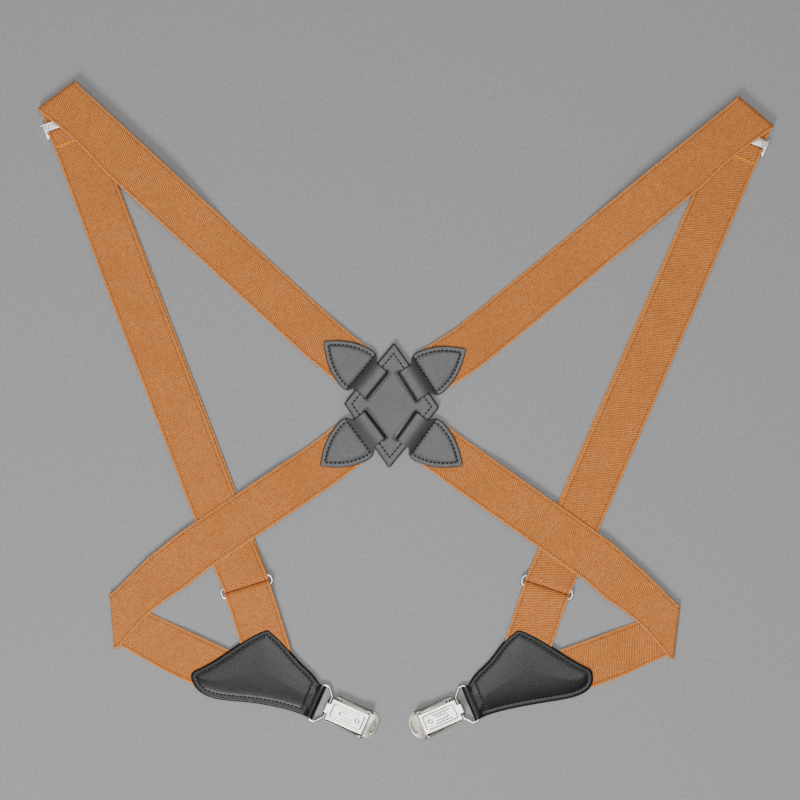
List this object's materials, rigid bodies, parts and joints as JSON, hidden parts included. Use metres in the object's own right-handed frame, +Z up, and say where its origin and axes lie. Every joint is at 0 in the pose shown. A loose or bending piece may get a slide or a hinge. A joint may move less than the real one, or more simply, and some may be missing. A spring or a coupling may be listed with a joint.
{
  "type": "suspenders",
  "caption": "Crossed-back suspenders laid flat: elastic webbing straps, leather back patch and petals, sliding adjusters, wire rings and hinged metal waistband clips.",
  "frame": {"origin": "in the plane the laid-out suspenders rest on, under the middle of the back patch", "axes": "+Z up out of that plane, +Y towards the shoulder folds, +X towards the strap on the right when seen from above"},
  "size_m": [0.5527, 0.4939, 0.0098],
  "materials": {
    "webbing": "woven elastic, fine twill",
    "leather": "smooth, satin",
    "nickel": "nickel plate",
    "spring_steel": "plain"
  },
  "bodies": {
    "harness": {"back_patch_front": "leather", "back_patch_backing": "leather", "front_leg_l": "webbing", "front_run_l": "webbing", "front_return_l": "webbing", "back_leg_l": "webbing", "back_return_l": "webbing", "drop_strap_l": "webbing", "clip_patch_l": "leather", "front_leg_r": "webbing", "front_run_r": "webbing", "front_return_r": "webbing", "back_leg_r": "webbing", "back_return_r": "webbing", "drop_strap_r": "webbing", "clip_patch_r": "leather"},
    "petal_ul": {"petal_ul": "leather", "strap_end_ul": "webbing"},
    "petal_ur": {"petal_ur": "leather", "strap_end_ur": "webbing"},
    "petal_ll": {"petal_ll": "leather", "strap_end_ll": "webbing"},
    "petal_lr": {"petal_lr": "leather", "strap_end_lr": "webbing"},
    "adjuster_l": {"adjuster_frame_l": "nickel", "webbing_tail_l": "webbing"},
    "plate_l": {"adjuster_plate_l": "nickel"},
    "ring_l": {"oval_ring_l": "nickel"},
    "loop_l": {"wire_loop_l": "nickel"},
    "clip_l": {"clip_base_l": "nickel", "jaw_pin_l": "nickel", "lever_pin_l": "nickel", "jaw_spring_l": "spring_steel", "base_grip_l": "nickel"},
    "jaw_l": {"clip_jaw_l": "nickel", "jaw_grip_l": "nickel"},
    "lever_l": {"clip_lever_l": "nickel"},
    "adjuster_r": {"adjuster_frame_r": "nickel", "webbing_tail_r": "webbing"},
    "plate_r": {"adjuster_plate_r": "nickel"},
    "ring_r": {"oval_ring_r": "nickel"},
    "loop_r": {"wire_loop_r": "nickel"},
    "clip_r": {"clip_base_r": "nickel", "jaw_pin_r": "nickel", "lever_pin_r": "nickel", "jaw_spring_r": "spring_steel", "base_grip_r": "nickel"},
    "jaw_r": {"clip_jaw_r": "nickel", "jaw_grip_r": "nickel"},
    "lever_r": {"clip_lever_r": "nickel"}
  },
  "joints": [
    {"name": "petal_swing_ul", "type": "hinge", "parent": "harness", "child": "petal_ul", "pos_m": [-0.01577, 0.01906, 0.0034], "axis": [0.6361, 0.7716, 0], "range_deg": [-8, 8]},
    {"name": "petal_swing_ur", "type": "hinge", "parent": "harness", "child": "petal_ur", "pos_m": [0.0174, 0.0175, 0.0034], "axis": [0.5417, -0.8406, 0], "range_deg": [-8, 8]},
    {"name": "petal_swing_ll", "type": "hinge", "parent": "harness", "child": "petal_ll", "pos_m": [-0.01709, -0.01795, 0.0034], "axis": [-0.6004, 0.7997, 0], "range_deg": [-8, 8]},
    {"name": "petal_swing_lr", "type": "hinge", "parent": "harness", "child": "petal_lr", "pos_m": [0.01608, -0.01865, 0.0034], "axis": [-0.5821, -0.8131, 0], "range_deg": [-8, 8]},
    {"name": "adjuster_slide_l", "type": "slide", "parent": "harness", "child": "adjuster_l", "axis": [0.3579, -0.9338, 0], "range_m": [0, 0.25], "deforming": ["front_return_l"]},
    {"name": "plate_lift_l", "type": "hinge", "parent": "adjuster_l", "child": "plate_l", "pos_m": [-0.24394, 0.21708, 0.0034], "axis": [-0.9338, -0.3579, 0], "range_deg": [0, 45]},
    {"name": "ring_rock_l", "type": "hinge", "parent": "harness", "child": "ring_l", "pos_m": [-0.1089, -0.1359, 0.0037], "axis": [0.9532, 0.3024, 0], "range_deg": [-6, 6]},
    {"name": "loop_swing_l", "type": "hinge", "parent": "harness", "child": "loop_l", "pos_m": [-0.05676, -0.22246, 0.0028], "axis": [-0.4067, -0.9135, 0], "range_deg": [-30, 90]},
    {"name": "clip_swing_l", "type": "hinge", "parent": "loop_l", "child": "clip_l", "pos_m": [-0.04781, -0.22645, 0.0028], "axis": [-0.4067, -0.9135, 0], "range_deg": [-30, 40]},
    {"name": "lever_flip_l", "type": "hinge", "parent": "clip_l", "child": "lever_l", "pos_m": [-0.02022, -0.23873, 0.0074], "axis": [0.4067, 0.9135, 0], "range_deg": [0, 100]},
    {"name": "jaw_open_l", "type": "hinge", "parent": "clip_l", "child": "jaw_l", "pos_m": [-0.04232, -0.22889, 0.0033], "axis": [-0.4067, -0.9135, 0], "range_deg": [0, 6]},
    {"name": "adjuster_slide_r", "type": "slide", "parent": "harness", "child": "adjuster_r", "axis": [-0.3995, -0.9167, 0], "range_m": [0, 0.25], "deforming": ["front_return_r"]},
    {"name": "plate_lift_r", "type": "hinge", "parent": "adjuster_r", "child": "plate_r", "pos_m": [0.26529, 0.20511, 0.0034], "axis": [-0.9167, 0.3995, 0], "range_deg": [0, 45]},
    {"name": "ring_rock_r", "type": "hinge", "parent": "harness", "child": "ring_r", "pos_m": [0.1167, -0.1367, 0.0037], "axis": [0.9483, -0.3173, 0], "range_deg": [-6, 6]},
    {"name": "loop_swing_r", "type": "hinge", "parent": "harness", "child": "loop_r", "pos_m": [0.06017, -0.2233, 0.0028], "axis": [-0.3939, 0.9191, 0], "range_deg": [-30, 90]},
    {"name": "clip_swing_r", "type": "hinge", "parent": "loop_r", "child": "clip_r", "pos_m": [0.05117, -0.22716, 0.0028], "axis": [-0.3939, 0.9191, 0], "range_deg": [-30, 40]},
    {"name": "lever_flip_r", "type": "hinge", "parent": "clip_r", "child": "lever_r", "pos_m": [0.02341, -0.23905, 0.0074], "axis": [0.3939, -0.9191, 0], "range_deg": [0, 100]},
    {"name": "jaw_open_r", "type": "hinge", "parent": "clip_r", "child": "jaw_r", "pos_m": [0.04565, -0.22952, 0.0033], "axis": [-0.3939, 0.9191, 0], "range_deg": [0, 6]}
  ],
  "couplings": [
    {"joint": "jaw_open_l", "follows": "lever_flip_l", "ratio": 0.06},
    {"joint": "jaw_open_r", "follows": "lever_flip_r", "ratio": 0.06}
  ]
}
